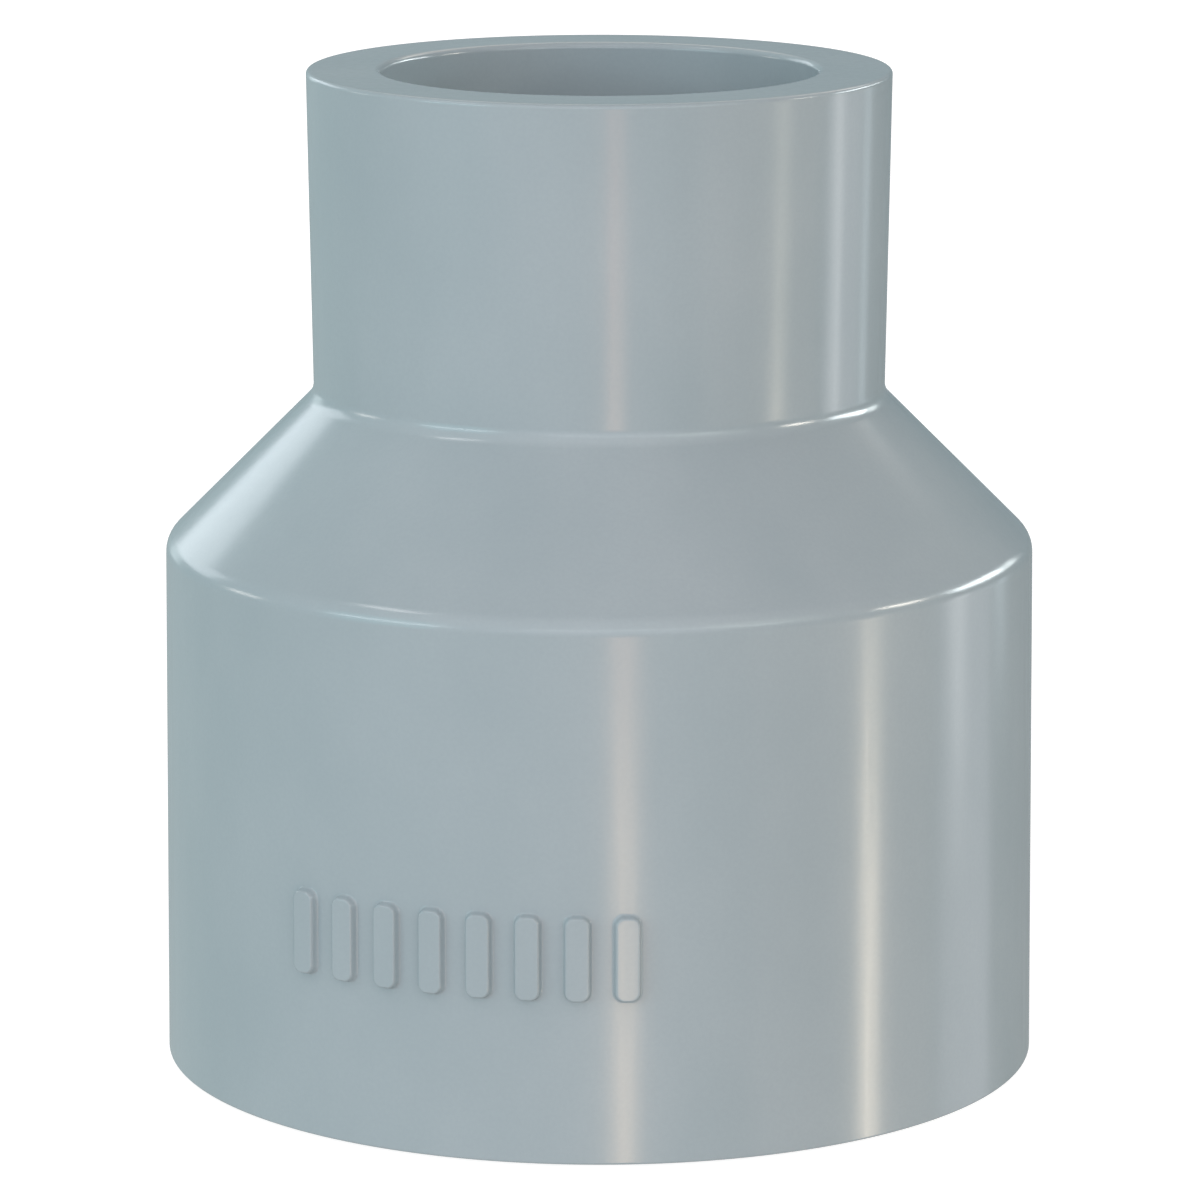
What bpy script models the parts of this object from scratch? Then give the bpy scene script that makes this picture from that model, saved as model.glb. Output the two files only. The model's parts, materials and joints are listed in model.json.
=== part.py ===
"""Reducing coupling for plastic pressure pipe: one moulding with a solvent-weld socket at each end.

Metres, +Z up. The coupling stands on its large mouth. The origin is the centre of that mouth, and +Z runs
along the common axis of both sockets to the small mouth. The raised bars are on the -Y side.
"""

import math

import bmesh
import bpy
from mathutils import Matrix, Vector

NAME = "reducing_coupling"

# Outside. Both barrels widen a little towards their mouths, which lets the two mould halves slide off.
HEIGHT = 0.04945
LARGE_MOUTH_RADIUS = 0.02182
LARGE_SHOULDER_RADIUS = 0.02160
SHOULDER_HEIGHT = 0.02603
SMALL_ROOT_RADIUS = 0.01418
SMALL_MOUTH_RADIUS = 0.01442
CONE_ANGLE = math.radians(45)

# Large socket, for pipe of 33.4 mm outside diameter, and small socket, for pipe of 21.3 mm.
LARGE_SOCKET_MOUTH_RADIUS = 0.016825
LARGE_SOCKET_BOTTOM_RADIUS = 0.016635
LARGE_SOCKET_DEPTH = 0.0240
SMALL_SOCKET_MOUTH_RADIUS = 0.010770
SMALL_SOCKET_BOTTOM_RADIUS = 0.010615
SMALL_SOCKET_DEPTH = 0.0175

# Waterway between the sockets. Each pipe stops against the ledge where its socket ends.
LARGE_LEDGE_INNER_RADIUS = 0.0144
THROAT_RADIUS = 0.0089
LAND_LENGTH = 0.0012

# Radii of the rounded corners.
SHOULDER_ROUND = 0.00124
ROOT_ROUND = 0.00110
RIM_ROUND = 0.00020
SOCKET_MOUTH_ROUND = 0.00030

# Raised bars, a plain moulded mark: upright bars side by side on the large barrel.
BAR_COUNT = 8
BAR_WIDTH = 0.0012
BAR_LENGTH = 0.0041
BAR_END_ROUND = 0.00045
BAR_RELIEF = 0.00040
BAR_SINK = 0.0010
BAR_HEIGHT = 0.01010
BAR_FIRST_ANGLE = math.radians(-39.9)
BAR_LAST_ANGLE = math.radians(3.5)

# Fineness of the mesh.
TURN_STEPS = 96
ARC_STEP = math.radians(23)
BAR_END_STEPS = 3
SHARP_ANGLE = math.radians(35)

GREY_PLASTIC = (0.34, 0.41, 0.44, 1.0)
GREY_PLASTIC_ROUGHNESS = 0.3


def clear_scene():
    for item in list(bpy.data.objects):
        bpy.data.objects.remove(item)


def new_collection(name):
    collection = bpy.data.collections.new(name)
    bpy.context.scene.collection.children.link(collection)
    return collection


def plastic_material():
    material = bpy.data.materials.new("grey_plastic")
    material.use_nodes = True
    shader = material.node_tree.nodes["Principled BSDF"]
    shader.inputs["Base Color"].default_value = GREY_PLASTIC
    shader.inputs["Roughness"].default_value = GREY_PLASTIC_ROUGHNESS
    shader.inputs["Metallic"].default_value = 0.0
    material.diffuse_color = GREY_PLASTIC
    return material


def outer_corners():
    """(radius, height, rounding) down the outside, from the small mouth to the large one."""
    cone_height = (LARGE_SHOULDER_RADIUS - SMALL_ROOT_RADIUS) / math.tan(CONE_ANGLE)
    return [
        (SMALL_MOUTH_RADIUS, HEIGHT, RIM_ROUND),
        (SMALL_ROOT_RADIUS, SHOULDER_HEIGHT + cone_height, ROOT_ROUND),
        (LARGE_SHOULDER_RADIUS, SHOULDER_HEIGHT, SHOULDER_ROUND),
        (LARGE_MOUTH_RADIUS, 0.0, 0.0),
    ]


def inner_corners():
    """(radius, height, rounding) up the inside, from the large mouth to the small one."""
    small_stop = HEIGHT - SMALL_SOCKET_DEPTH
    throat_start = small_stop - LAND_LENGTH
    cone_start = throat_start - (LARGE_LEDGE_INNER_RADIUS - THROAT_RADIUS) / math.tan(CONE_ANGLE)
    return [
        (LARGE_SOCKET_MOUTH_RADIUS, 0.0, SOCKET_MOUTH_ROUND),
        (LARGE_SOCKET_BOTTOM_RADIUS, LARGE_SOCKET_DEPTH, 0.0),
        (LARGE_LEDGE_INNER_RADIUS, LARGE_SOCKET_DEPTH, 0.0),
        (LARGE_LEDGE_INNER_RADIUS, cone_start, 0.0),
        (THROAT_RADIUS, throat_start, 0.0),
        (THROAT_RADIUS, small_stop, 0.0),
        (SMALL_SOCKET_BOTTOM_RADIUS, small_stop, 0.0),
        (SMALL_SOCKET_MOUTH_RADIUS, HEIGHT, SOCKET_MOUTH_ROUND),
    ]


def rounded_corner(before, corner, after, radius):
    """The points that replace one corner of an outline: the corner itself, or an arc if it is rounded."""
    if radius == 0.0:
        return [corner]
    to_before = (before - corner).normalized()
    to_after = (after - corner).normalized()
    half_angle = to_before.angle(to_after) / 2
    setback = radius / math.tan(half_angle)
    centre = corner + (to_before + to_after).normalized() * (radius / math.sin(half_angle))
    start = corner + to_before * setback - centre
    end = corner + to_after * setback - centre
    steps = math.ceil((math.pi - 2 * half_angle) / ARC_STEP)
    return [centre + start.slerp(end, step / steps) * radius for step in range(steps + 1)]


def rounded_outline(corners):
    """A closed outline of (radius, height) points with its corners rounded."""
    places = [Vector((radius, height)) for radius, height, _ in corners]
    points = []
    for index, (_, _, rounding) in enumerate(corners):
        after = places[(index + 1) % len(places)]
        points += rounded_corner(places[index - 1], places[index], after, rounding)
    return points


def outline_mesh(name, points):
    """A closed loop of edges in the XZ plane."""
    mesh = bmesh.new()
    verts = [mesh.verts.new((point.x, 0.0, point.y)) for point in points]
    for index, vert in enumerate(verts):
        mesh.edges.new((verts[index - 1], vert))
    data = bpy.data.meshes.new(name)
    mesh.to_mesh(data)
    mesh.free()
    return data


def barrel_radius(height):
    """Outside radius of the large barrel's drafted wall at this height."""
    draft = (LARGE_MOUTH_RADIUS - LARGE_SHOULDER_RADIUS) / SHOULDER_HEIGHT
    return LARGE_MOUTH_RADIUS - draft * height


def bar_mesh():
    """One bar lying along Z, its outer face at -Y, with the corners of that face's outline rounded."""
    mesh = bmesh.new()
    size = Matrix.Diagonal((BAR_WIDTH, BAR_RELIEF + BAR_SINK, BAR_LENGTH, 1.0))
    bmesh.ops.create_cube(mesh, size=1.0, matrix=size)
    across = [
        edge
        for edge in mesh.edges
        if abs(edge.verts[0].co.y - edge.verts[1].co.y) > BAR_RELIEF
    ]
    bmesh.ops.bevel(
        mesh,
        geom=across,
        offset=BAR_END_ROUND,
        segments=BAR_END_STEPS,
        profile=0.5,
        affect="EDGES",
    )
    data = bpy.data.meshes.new("raised_bar")
    mesh.to_mesh(data)
    mesh.free()
    return data


def make_bars(collection):
    """The raised bars, spread evenly around the -Y side and sunk into the barrel's wall."""
    data = bar_mesh()
    reach = barrel_radius(BAR_HEIGHT) + (BAR_RELIEF - BAR_SINK) / 2
    spacing = (BAR_LAST_ANGLE - BAR_FIRST_ANGLE) / (BAR_COUNT - 1)
    for index in range(BAR_COUNT):
        angle = BAR_FIRST_ANGLE + index * spacing
        bar = bpy.data.objects.new(f"raised_bar_{index + 1}", data)
        bar.location = (reach * math.sin(angle), -reach * math.cos(angle), BAR_HEIGHT)
        bar.rotation_euler = (0.0, 0.0, angle)
        bar.hide_render = True
        bar.display_type = "WIRE"
        collection.objects.link(bar)


def make_body(collection, bars):
    """The moulding: its outline turned about Z and joined with the raised bars."""
    outline = rounded_outline(outer_corners() + inner_corners())
    body = bpy.data.objects.new("reducer_body", outline_mesh("reducer_body", outline))
    collection.objects.link(body)

    turn = body.modifiers.new("turn", "SCREW")
    turn.axis = "Z"
    turn.angle = 2 * math.pi
    turn.steps = TURN_STEPS
    turn.render_steps = TURN_STEPS

    join = body.modifiers.new("join_bars", "BOOLEAN")
    join.operation = "UNION"
    join.solver = "EXACT"
    join.operand_type = "COLLECTION"
    join.collection = bars
    return body


def apply_modifiers(item):
    graph = bpy.context.evaluated_depsgraph_get()
    finished = bpy.data.meshes.new_from_object(item.evaluated_get(graph))
    finished.name = item.name
    item.modifiers.clear()
    item.data = finished


def finish_surface(item, material):
    item.data.materials.clear()
    item.data.materials.append(material)
    item.data.shade_smooth()
    item.data.set_sharp_from_angle(angle=SHARP_ANGLE)


def main():
    clear_scene()
    parts = new_collection(NAME)
    joined_shapes = new_collection(NAME + "_joined_shapes")
    make_bars(joined_shapes)
    body = make_body(parts, joined_shapes)
    apply_modifiers(body)
    finish_surface(body, plastic_material())


main()
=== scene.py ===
"""Looks for the reducing coupling: one semi-gloss grey moulding on a pale studio floor.

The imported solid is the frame. A finer moulding of the same size stands for it: every edge has its small
moulded radius, and the raised bars rise out of the wall in one skin with it.
"""

import json
import math

import bmesh
import bpy
from mathutils import Euler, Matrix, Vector


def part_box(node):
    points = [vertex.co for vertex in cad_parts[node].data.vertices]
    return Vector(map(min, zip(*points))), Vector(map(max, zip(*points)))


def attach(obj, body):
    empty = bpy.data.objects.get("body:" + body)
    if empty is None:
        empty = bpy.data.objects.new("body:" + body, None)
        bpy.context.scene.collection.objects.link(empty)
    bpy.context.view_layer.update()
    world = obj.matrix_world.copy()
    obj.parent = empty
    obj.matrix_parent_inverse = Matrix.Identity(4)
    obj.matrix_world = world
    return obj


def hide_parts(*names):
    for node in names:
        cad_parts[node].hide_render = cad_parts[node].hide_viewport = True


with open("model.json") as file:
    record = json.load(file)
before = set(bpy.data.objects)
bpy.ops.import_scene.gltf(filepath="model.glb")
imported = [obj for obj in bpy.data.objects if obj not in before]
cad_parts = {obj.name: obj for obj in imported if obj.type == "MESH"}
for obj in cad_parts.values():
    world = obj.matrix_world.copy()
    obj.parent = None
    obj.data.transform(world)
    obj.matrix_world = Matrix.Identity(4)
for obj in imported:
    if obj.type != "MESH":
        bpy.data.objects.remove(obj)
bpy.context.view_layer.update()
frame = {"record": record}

# The moulding's outline, in metres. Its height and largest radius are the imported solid's.
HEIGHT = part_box("reducer_body")[1][2]
LARGE_MOUTH_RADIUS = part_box("reducer_body")[1][0]
LARGE_SHOULDER_RADIUS = 0.02160
SHOULDER_HEIGHT = 0.02603
SMALL_ROOT_RADIUS = 0.01418
SMALL_MOUTH_RADIUS = 0.01442
CONE_ANGLE = math.radians(45)

LARGE_SOCKET_MOUTH_RADIUS = 0.016825
LARGE_SOCKET_BOTTOM_RADIUS = 0.016635
SMALL_SOCKET_MOUTH_RADIUS = 0.010770
SMALL_SOCKET_BOTTOM_RADIUS = 0.010615
LARGE_LEDGE_INNER_RADIUS = 0.0144
THROAT_RADIUS = 0.0089
LAND_LENGTH = 0.0012

SHOULDER_ROUND = 0.00124
ROOT_ROUND = 0.00110
RIM_ROUND = 0.00020
SOCKET_MOUTH_ROUND = 0.00030
BASE_EDGE_ROUND = 0.00012
INNER_EDGE_ROUND = 0.00020

# Raised bars on the -Y side of the large barrel.
BAR_COUNT = 8
BAR_WIDTH = 0.0012
BAR_LENGTH = 0.0041
BAR_END_ROUND = 0.00045
BAR_RELIEF = 0.00040
BAR_SIDE_WIDTH = 0.00014
BAR_HEIGHT = 0.01010
BAR_FIRST_ANGLE = math.radians(-39.9)
BAR_LAST_ANGLE = math.radians(3.5)
BAR_SPACING = (BAR_LAST_ANGLE - BAR_FIRST_ANGLE) / (BAR_COUNT - 1)

# Fineness of the skin: steps round the axis, steps along an arc, and cell sizes along a straight run.
TURN_STEPS = 240
ARC_STEP = math.radians(9)
FIRST_CELL = 0.00004
CELL_GROWTH = 3.0
LARGEST_CELL = 0.0020

# The bars' patch of wall: its height, the columns it spans past the bars, and how finely it is cut.
# Only points farther out than WALL_MIDDLE_RADIUS are on the outside of the wall.
PATCH_LOW = 0.00745
PATCH_HIGH = 0.01275
PATCH_ROWS = 10
PATCH_CUTS = 10
PATCH_SIDE_COLUMNS = 2
WALL_MIDDLE_RADIUS = 0.0185
PLACE_TOLERANCE = 0.000001

# The plastic: its pigment's darkest, lightest and speck colours.
DARK_PIGMENT = (0.300, 0.373, 0.403, 1.0)
LIGHT_PIGMENT = (0.326, 0.396, 0.426, 1.0)
SPECK_PIGMENT = (0.250, 0.315, 0.345, 1.0)
SPECK_SHARE = 0.12
IOR = 1.53
ROUGHNESS = (0.16, 0.20)

# Its patterns: scale per metre, how much each is drawn out along Z, and detail. Depths are in metres.
CLOUDS = (160, 1.6, 3.0)
SPECKS = (5200, 1.0, 1.0)
POLISHING_MARKS = (2600, 30, 2.0)
ORANGE_PEEL = (900, 1.0, 2.0)
MARK_DEPTH = 0.0000006
PEEL_DEPTH = 0.0000020

# Noise values mostly lie between these two.
NOISE_LOW = 0.3
NOISE_HIGH = 0.7

# Studio softboxes: name, azimuth from -Y towards +X, elevation, width and height in degrees, radiance.
LIGHT_DISTANCE = 1.0
SOFTBOXES = [
    ("front_strip", 6.2, -18, 5.5, 12, (6.7, 4.8, 3.2)),
    ("front_strip_top", 6.2, -8, 5.5, 8, (2.2, 0.85, 0.5)),
    ("right_strip", 74.3, -18, 4.4, 12, (11.6, 9.8, 7.6)),
    ("right_strip_top", 76, -8, 6.5, 8, (1.7, 1.65, 1.3)),
    ("right_fill", 68, -14, 54, 20, (0.4, 0.33, 0.3)),
    ("far_right", 112, -14, 24, 20, (0.7, 0.7, 0.78)),
    ("far_right_strip", 107.5, -8, 6.5, 10, (2.3, 2.3, 2.3)),
    ("rear_right_strip", 130, -8, 6.5, 8, (0.95, 1.1, 1.2)),
    ("key", 86, 14.5, 13, 5, (21.5, 20.0, 17.5)),
    ("key_rear", 119, 12.5, 26, 8, (11.8, 12.8, 13.0)),
    ("key_far", 139, 10, 8, 8, (3.5, 3.8, 3.8)),
    ("rear_right_high", 145, 32, 10, 14, (2.4, 2.4, 2.3)),
    ("front_bar", 15, 18, 70, 3, (2.9, 3.2, 3.3)),
    ("left_bar", -57, 9, 32, 4, (5.6, 6.4, 6.7)),
    ("left_high", -75, 50, 16, 5, (6.0, 6.0, 6.0)),
    ("far_left_bar", -105, 6, 12, 6, (4.5, 4.3, 4.0)),
    ("back_left", -140, 16, 32, 16, (1.6, 1.7, 1.8)),
    ("back_left_low", -150, 2, 12, 12, (0.72, 0.8, 0.82)),
    ("left", -58, 8, 30, 24, (0.03, 0.64, 0.72)),
    ("front_right", 45, 20, 30, 20, (0.8, 0.9, 0.8)),
    ("front_low", 0, 8, 60, 10, (0.6, 0.6, 0.7)),
    ("back_high", 165, 42, 50, 24, (1.1, 0.9, 0.75)),
]

# Soft room light: name, azimuth, elevation, how tightly it is focused, radiance where it is strongest.
GLOWS = [
    ("ceiling", 0, 90, 1, (0.15, 0.03, 0.0)),
    ("bounce", 0, -90, 1, (0.78, 0.72, 0.69)),
    ("front_glow", 0, 30, 2, (1.31, 1.25, 1.28)),
    ("left_glow", -60, 5, 4, (0.46, 0.47, 0.48)),
    ("back_glow", 180, 30, 2, (0.19, 0.28, 0.32)),
    ("back_left_glow", -120, 20, 2, (0.44, 0.55, 0.54)),
]
WHITE = (1.0, 1.0, 1.0, 1.0)

# The pale floor, and the disc that closes the large mouth, whose dark grey is painted shade. Each lies this
# far below the coupling.
FLOOR_RADIUS = 4.0
FLOOR_DROP = 0.0001
FLOOR_GREY = 0.3
FLOOR_GLOW = 0.85
SHADE_DROP = 0.00005
# The inside disc's dark grey is painted shade.
PAINTED_SHADE_GREY = 0.25
DISC_STEPS = 96
MATT_ROUGHNESS = 0.9

# A long lens, a little above the coupling and looking slightly down.
CAMERA_PLACE = (0.0, -0.29028, 0.08446)
CAMERA_DIP = math.radians(12.011)
CAMERA_SHIFT = 0.0006
SENSOR_WIDTH = 36.0
FOCAL_LENGTH = 177.7
NEAR_CLIP = 0.01


def mount_height(name):
    return next(m["pos_m"][2] for m in frame["record"]["mounts"] if m["name"] == name)


def outline_corners():
    """(radius, height, rounding) down the outside from the small mouth, and back up the inside."""
    cone_height = (LARGE_SHOULDER_RADIUS - SMALL_ROOT_RADIUS) / math.tan(CONE_ANGLE)
    large_stop = mount_height("large_pipe_stop")
    small_stop = mount_height("small_pipe_stop")
    throat_start = small_stop - LAND_LENGTH
    cone_start = throat_start - (LARGE_LEDGE_INNER_RADIUS - THROAT_RADIUS) / math.tan(CONE_ANGLE)
    return [
        (SMALL_MOUTH_RADIUS, HEIGHT, RIM_ROUND),
        (SMALL_ROOT_RADIUS, SHOULDER_HEIGHT + cone_height, ROOT_ROUND),
        (LARGE_SHOULDER_RADIUS, SHOULDER_HEIGHT, SHOULDER_ROUND),
        (LARGE_MOUTH_RADIUS, 0.0, BASE_EDGE_ROUND),
        (LARGE_SOCKET_MOUTH_RADIUS, 0.0, SOCKET_MOUTH_ROUND),
        (LARGE_SOCKET_BOTTOM_RADIUS, large_stop, INNER_EDGE_ROUND),
        (LARGE_LEDGE_INNER_RADIUS, large_stop, INNER_EDGE_ROUND),
        (LARGE_LEDGE_INNER_RADIUS, cone_start, INNER_EDGE_ROUND),
        (THROAT_RADIUS, throat_start, INNER_EDGE_ROUND),
        (THROAT_RADIUS, small_stop, INNER_EDGE_ROUND),
        (SMALL_SOCKET_BOTTOM_RADIUS, small_stop, INNER_EDGE_ROUND),
        (SMALL_SOCKET_MOUTH_RADIUS, HEIGHT, SOCKET_MOUTH_ROUND),
    ]


def rounded_corner(before, corner, after, radius):
    """The points of the arc that rounds one corner of an outline."""
    to_before = (before - corner).normalized()
    to_after = (after - corner).normalized()
    half_angle = to_before.angle(to_after) / 2
    setback = radius / math.tan(half_angle)
    centre = corner + (to_before + to_after).normalized() * (radius / math.sin(half_angle))
    start = corner + to_before * setback - centre
    end = corner + to_after * setback - centre
    steps = math.ceil((math.pi - 2 * half_angle) / ARC_STEP)
    return [centre + start.slerp(end, step / steps) * radius for step in range(steps + 1)]


def straight_run(start, end):
    """Points between start and end, close together near both ends so that the run is shaded straight."""
    length = (end - start).length
    near = []
    reach, cell = FIRST_CELL, FIRST_CELL
    while reach < length / 2 - cell / 2:
        near.append(reach)
        cell = min(cell * CELL_GROWTH, LARGEST_CELL)
        reach += cell
    places = near + [length - place for place in reversed(near)]
    return [start.lerp(end, place / length) for place in places]


def barrel_radius(height):
    """Outside radius of the large barrel's drafted wall at this height."""
    draft = (LARGE_MOUTH_RADIUS - LARGE_SHOULDER_RADIUS) / SHOULDER_HEIGHT
    return LARGE_MOUTH_RADIUS - draft * height


def patch_rows():
    """Points down the large barrel's wall, at equal steps from the top to the bottom of the bars' patch."""
    step = (PATCH_HIGH - PATCH_LOW) / PATCH_ROWS
    heights = [PATCH_HIGH - row * step for row in range(PATCH_ROWS + 1)]
    return [Vector((barrel_radius(height), height)) for height in heights]


def full_outline():
    """The whole closed outline as (radius, height) points, fine at its corners."""
    corners = outline_corners()
    places = [Vector((radius, height)) for radius, height, _ in corners]
    arcs = []
    for index, (_, _, rounding) in enumerate(corners):
        after = places[(index + 1) % len(places)]
        arcs.append(rounded_corner(places[index - 1], places[index], after, rounding))
    points = []
    for index, arc in enumerate(arcs):
        after = arcs[(index + 1) % len(arcs)][0]
        points += arc
        if corners[index][0] == LARGE_SHOULDER_RADIUS:
            rows = patch_rows()
            points += straight_run(arc[-1], rows[0]) + rows + straight_run(rows[-1], after)
        else:
            points += straight_run(arc[-1], after)
    return points


def bar_relief(angle, height):
    """How far the wall stands out here: BAR_RELIEF on a bar, 0 off it, and a steep smooth side between."""
    nearest = min(max(round((angle - BAR_FIRST_ANGLE) / BAR_SPACING), 0), BAR_COUNT - 1)
    across = abs(angle - BAR_FIRST_ANGLE - nearest * BAR_SPACING) * barrel_radius(height)
    along = abs(height - BAR_HEIGHT)
    past_side = across - (BAR_WIDTH / 2 - BAR_END_ROUND)
    past_end = along - (BAR_LENGTH / 2 - BAR_END_ROUND)
    to_outline = math.hypot(max(past_side, 0.0), max(past_end, 0.0))
    to_outline += min(max(past_side, past_end), 0.0) - BAR_END_ROUND
    rise = min(max(0.5 - to_outline / BAR_SIDE_WIDTH, 0.0), 1.0)
    return BAR_RELIEF * rise * rise * (3 - 2 * rise)


def turn_outline(mesh, points):
    """Turns the closed outline about Z into a closed skin."""
    rings = []
    for step in range(TURN_STEPS):
        angle = 2 * math.pi * step / TURN_STEPS
        across, along = math.cos(angle), math.sin(angle)
        rings.append([mesh.verts.new((p.x * across, p.x * along, p.y)) for p in points])
    for step, ring in enumerate(rings):
        before = rings[step - 1]
        for index in range(len(points)):
            mesh.faces.new((before[index - 1], before[index], ring[index], ring[index - 1]))
    bmesh.ops.recalc_face_normals(mesh, faces=mesh.faces[:])


def bearing(place):
    """Angle of a point round the axis: 0 towards -Y, growing towards +X."""
    return math.atan2(place.x, -place.y)


def in_patch(place, first, last, tolerance):
    """Whether a point is on the outside of the bars' patch, which spans the bearings first..last."""
    if math.hypot(place.x, place.y) < WALL_MIDDLE_RADIUS:
        return False
    if not PATCH_LOW - PLACE_TOLERANCE < place.z < PATCH_HIGH + PLACE_TOLERANCE:
        return False
    return first - tolerance < bearing(place) < last + tolerance


def raise_bars(mesh):
    """Cuts the bars' patch of wall finely and moves its points out to the wall and the bars."""
    column = 2 * math.pi / TURN_STEPS
    first = math.floor(BAR_FIRST_ANGLE / column - PATCH_SIDE_COLUMNS) * column
    last = math.ceil(BAR_LAST_ANGLE / column + PATCH_SIDE_COLUMNS) * column
    patch = [face for face in mesh.faces if in_patch(face.calc_center_median(), first, last, 0.0)]
    edges = list({edge for face in patch for edge in face.edges})
    bmesh.ops.subdivide_edges(mesh, edges=edges, cuts=PATCH_CUTS, use_grid_fill=True)
    for vert in mesh.verts:
        if in_patch(vert.co, first, last, column / 2):
            angle, height = bearing(vert.co), vert.co.z
            wall = barrel_radius(height) + bar_relief(angle, height)
            vert.co = (wall * math.sin(angle), -wall * math.cos(angle), height)


def make_moulding(material):
    mesh = bmesh.new()
    turn_outline(mesh, full_outline())
    raise_bars(mesh)
    data = bpy.data.meshes.new("moulding")
    mesh.to_mesh(data)
    mesh.free()
    data.shade_smooth()
    data.materials.append(material)
    moulding = bpy.data.objects.new("reducer_moulding", data)
    bpy.context.scene.collection.objects.link(moulding)
    return moulding


def fine_noise(nodes, coordinates, scale, stretch, detail):
    """A noise value of this scale per metre, drawn out along Z by this many times."""
    links = nodes.id_data.links
    mapping = nodes.new("ShaderNodeMapping")
    mapping.inputs["Scale"].default_value = (scale, scale, scale / stretch)
    links.new(coordinates, mapping.inputs["Vector"])
    noise = nodes.new("ShaderNodeTexNoise")
    noise.inputs["Scale"].default_value = 1.0
    noise.inputs["Detail"].default_value = detail
    links.new(mapping.outputs["Vector"], noise.inputs["Vector"])
    return noise.outputs["Fac"]


def spread(nodes, value, low, high):
    """Maps the usual range of a noise to low..high."""
    links = nodes.id_data.links
    remap = nodes.new("ShaderNodeMapRange")
    remap.inputs["From Min"].default_value = NOISE_LOW
    remap.inputs["From Max"].default_value = NOISE_HIGH
    remap.inputs["To Min"].default_value = low
    remap.inputs["To Max"].default_value = high
    links.new(value, remap.inputs["Value"])
    return remap.outputs["Result"]


def socket(sockets, identifier):
    return next(item for item in sockets if item.identifier == identifier)


def mixed_colour(nodes, factor, low, high):
    """Mixes two colours; each is a colour or another node's output."""
    links = nodes.id_data.links
    mix = nodes.new("ShaderNodeMix")
    mix.data_type = "RGBA"
    links.new(factor, socket(mix.inputs, "Factor_Float"))
    for identifier, colour in (("A_Color", low), ("B_Color", high)):
        if isinstance(colour, tuple):
            socket(mix.inputs, identifier).default_value = colour
        else:
            links.new(colour, socket(mix.inputs, identifier))
    return socket(mix.outputs, "Result_Color")


def bump(nodes, height, depth, under=None):
    """A bump this many metres deep, on top of another one if given."""
    links = nodes.id_data.links
    node = nodes.new("ShaderNodeBump")
    node.inputs["Distance"].default_value = depth
    links.new(height, node.inputs["Height"])
    if under:
        links.new(under, node.inputs["Normal"])
    return node.outputs["Normal"]


def plastic():
    """Blue-grey PVC from a polished mould: cloudy pigment, upright polishing marks, faint orange peel."""
    material = bpy.data.materials.new("grey_pvc")
    material.use_nodes = True
    nodes, links = material.node_tree.nodes, material.node_tree.links
    shader = nodes["Principled BSDF"]
    shader.inputs["IOR"].default_value = IOR
    place = nodes.new("ShaderNodeTexCoord").outputs["Object"]
    clouds = fine_noise(nodes, place, *CLOUDS)
    specks = fine_noise(nodes, place, *SPECKS)
    marks = fine_noise(nodes, place, *POLISHING_MARKS)
    peel = fine_noise(nodes, place, *ORANGE_PEEL)

    pigment = mixed_colour(nodes, spread(nodes, clouds, 0.0, 1.0), DARK_PIGMENT, LIGHT_PIGMENT)
    colour = mixed_colour(nodes, spread(nodes, specks, 0.0, SPECK_SHARE), pigment, SPECK_PIGMENT)
    links.new(colour, shader.inputs["Base Color"])
    links.new(spread(nodes, marks, *ROUGHNESS), shader.inputs["Roughness"])
    uneven = bump(nodes, peel, PEEL_DEPTH)
    links.new(bump(nodes, marks, MARK_DEPTH, uneven), shader.inputs["Normal"])
    return material


def direction(azimuth, elevation):
    """Unit vector towards this azimuth, in degrees from -Y towards +X, and elevation."""
    turn, rise = math.radians(azimuth), math.radians(elevation)
    across = math.cos(rise)
    return Vector((math.sin(turn) * across, -math.cos(turn) * across, math.sin(rise)))


def softbox(name, azimuth, elevation, width, height, radiance):
    """A rectangular light that seen from the coupling spans width by height degrees."""
    middle = Vector((0.0, 0.0, HEIGHT / 2))
    light = bpy.data.lights.new(name, "AREA")
    light.shape = "RECTANGLE"
    light.size = 2 * LIGHT_DISTANCE * math.tan(math.radians(width / 2))
    light.size_y = 2 * LIGHT_DISTANCE * math.tan(math.radians(height / 2))
    # This power makes the light's colour its radiance.
    light.energy = math.pi * light.size * light.size_y
    light.color = radiance
    item = bpy.data.objects.new(name, light)
    bpy.context.scene.collection.objects.link(item)
    item.location = middle + direction(azimuth, elevation) * LIGHT_DISTANCE
    item.rotation_euler = (middle - item.location).to_track_quat("-Z", "Y").to_euler()
    item.visible_camera = False


def glow(nodes, azimuth, elevation, focus, radiance):
    """Light strongest from one direction, fading smoothly away from it, faster at a higher focus."""
    links = nodes.id_data.links
    facing = nodes.new("ShaderNodeVectorMath")
    facing.operation = "DOT_PRODUCT"
    facing.inputs[1].default_value = direction(azimuth, elevation)
    links.new(nodes["sky_direction"].outputs["Generated"], facing.inputs[0])
    front = nodes.new("ShaderNodeMath")
    front.operation = "MAXIMUM"
    front.inputs[1].default_value = 0.0
    links.new(facing.outputs["Value"], front.inputs[0])
    fade = nodes.new("ShaderNodeMath")
    fade.operation = "POWER"
    fade.inputs[1].default_value = focus
    links.new(front.outputs[0], fade.inputs[0])
    lit = nodes.new("ShaderNodeVectorMath")
    lit.operation = "SCALE"
    lit.inputs[0].default_value = radiance
    links.new(fade.outputs[0], lit.inputs["Scale"])
    return lit.outputs[0]


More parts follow.
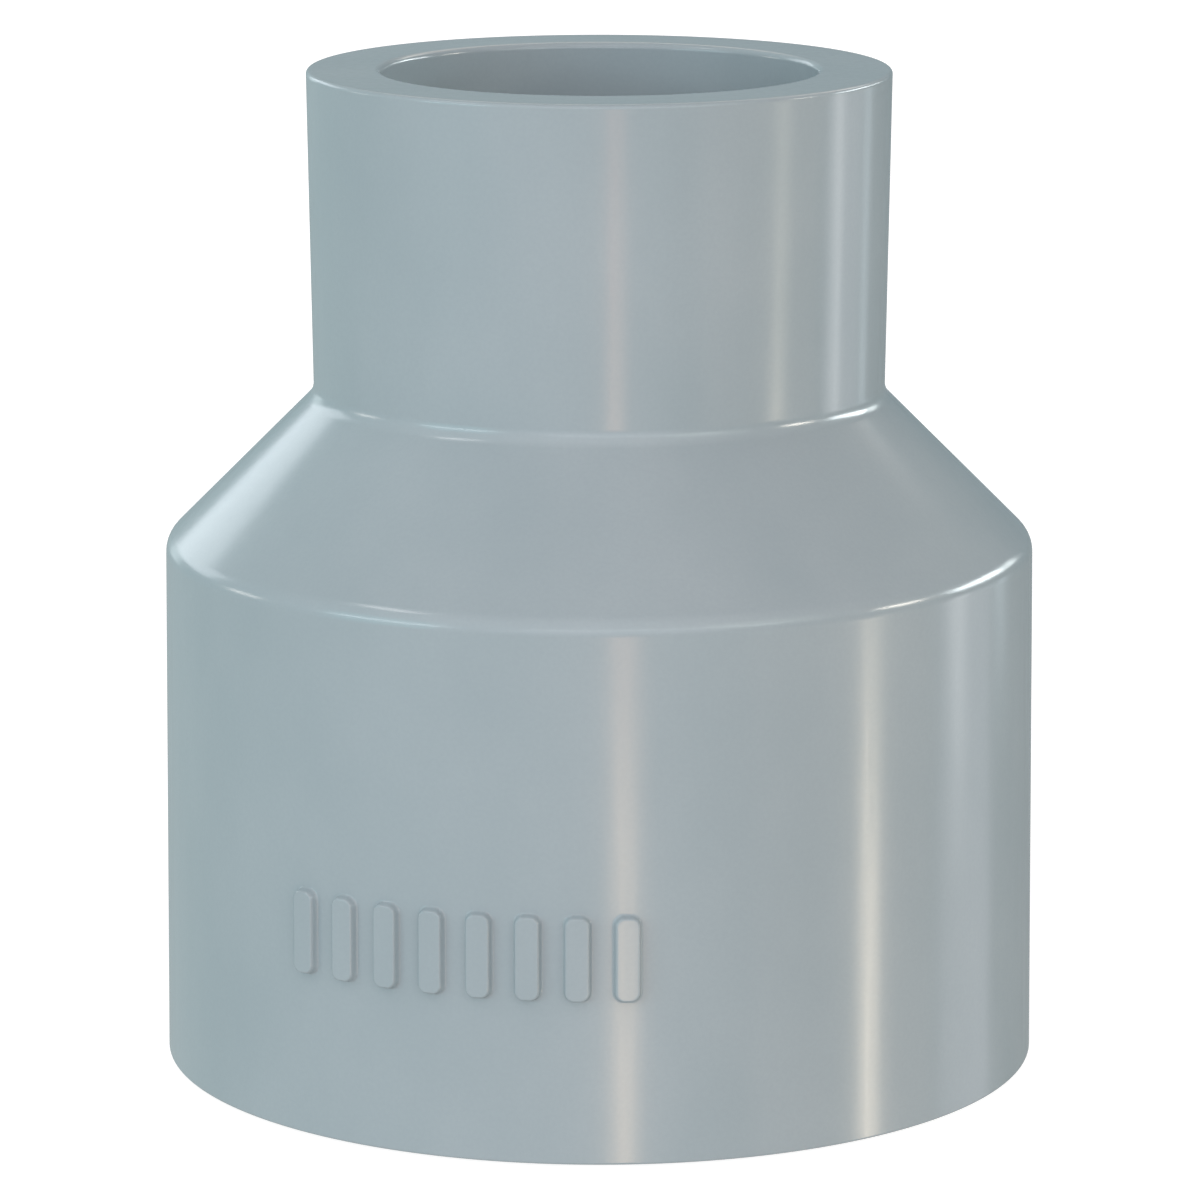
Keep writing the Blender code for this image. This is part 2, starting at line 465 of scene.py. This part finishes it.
def make_world():
    """The room's soft light. The camera sees plain white instead."""
    world = bpy.data.worlds.new("studio")
    world.use_nodes = True
    bpy.context.scene.world = world
    nodes, links = world.node_tree.nodes, world.node_tree.links
    nodes.new("ShaderNodeTexCoord").name = "sky_direction"
    total = None
    for _, azimuth, elevation, focus, radiance in GLOWS:
        lit = glow(nodes, azimuth, elevation, focus, radiance)
        if total:
            add = nodes.new("ShaderNodeVectorMath")
            links.new(total, add.inputs[0])
            links.new(lit, add.inputs[1])
            lit = add.outputs[0]
        total = lit
    links.new(total, nodes["Background"].inputs["Color"])
    backdrop = nodes.new("ShaderNodeBackground")
    backdrop.inputs["Color"].default_value = WHITE
    seen = nodes.new("ShaderNodeLightPath").outputs["Is Camera Ray"]
    mix = nodes.new("ShaderNodeMixShader")
    links.new(seen, mix.inputs["Fac"])
    links.new(nodes["Background"].outputs[0], mix.inputs[1])
    links.new(backdrop.outputs[0], mix.inputs[2])
    links.new(mix.outputs[0], nodes["World Output"].inputs["Surface"])


def make_disc(name, radius, drop, grey, brightness):
    """A flat matt disc centred this far below the coupling, which may glow white too."""
    mesh = bmesh.new()
    bmesh.ops.create_circle(mesh, cap_ends=True, radius=radius, segments=DISC_STEPS)
    data = bpy.data.meshes.new(name)
    mesh.to_mesh(data)
    mesh.free()
    disc = bpy.data.objects.new(name, data)
    bpy.context.scene.collection.objects.link(disc)
    disc.location.z = -drop
    material = bpy.data.materials.new(name)
    material.use_nodes = True
    shader = material.node_tree.nodes["Principled BSDF"]
    shader.inputs["Base Color"].default_value = (grey, grey, grey, 1.0)
    shader.inputs["Roughness"].default_value = MATT_ROUGHNESS
    shader.inputs["Emission Color"].default_value = WHITE
    shader.inputs["Emission Strength"].default_value = brightness
    data.materials.append(material)
    return disc


def make_floor():
    """A wide pale floor. Only the camera sees it, so it neither lights nor shades the coupling."""
    floor = make_disc("floor", FLOOR_RADIUS, FLOOR_DROP, FLOOR_GREY, FLOOR_GLOW)
    floor.visible_glossy = False
    floor.visible_diffuse = False
    floor.visible_shadow = False


def make_inside_shade():
    """A disc that closes the large mouth and keeps light out of it, as the surface under a standing
    coupling does. Its dark grey is painted shade inside the coupling.
    """
    make_disc("inside_shade", LARGE_SOCKET_MOUTH_RADIUS, SHADE_DROP, PAINTED_SHADE_GREY, 0.0)


def make_camera():
    data = bpy.data.cameras.new("camera")
    data.sensor_width = SENSOR_WIDTH
    data.lens = FOCAL_LENGTH
    data.clip_start = NEAR_CLIP
    data.shift_x = CAMERA_SHIFT
    camera = bpy.data.objects.new("camera", data)
    bpy.context.scene.collection.objects.link(camera)
    camera.location = CAMERA_PLACE
    camera.rotation_euler = Euler((math.pi / 2 - CAMERA_DIP, 0.0, 0.0))
    bpy.context.scene.camera = camera


def main():
    moulding = make_moulding(plastic())
    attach(moulding, "root")
    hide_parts("reducer_body")
    for light in SOFTBOXES:
        softbox(*light)
    make_world()
    make_floor()
    make_inside_shade()
    make_camera()
    bpy.context.scene.view_settings.view_transform = "Standard"


main()
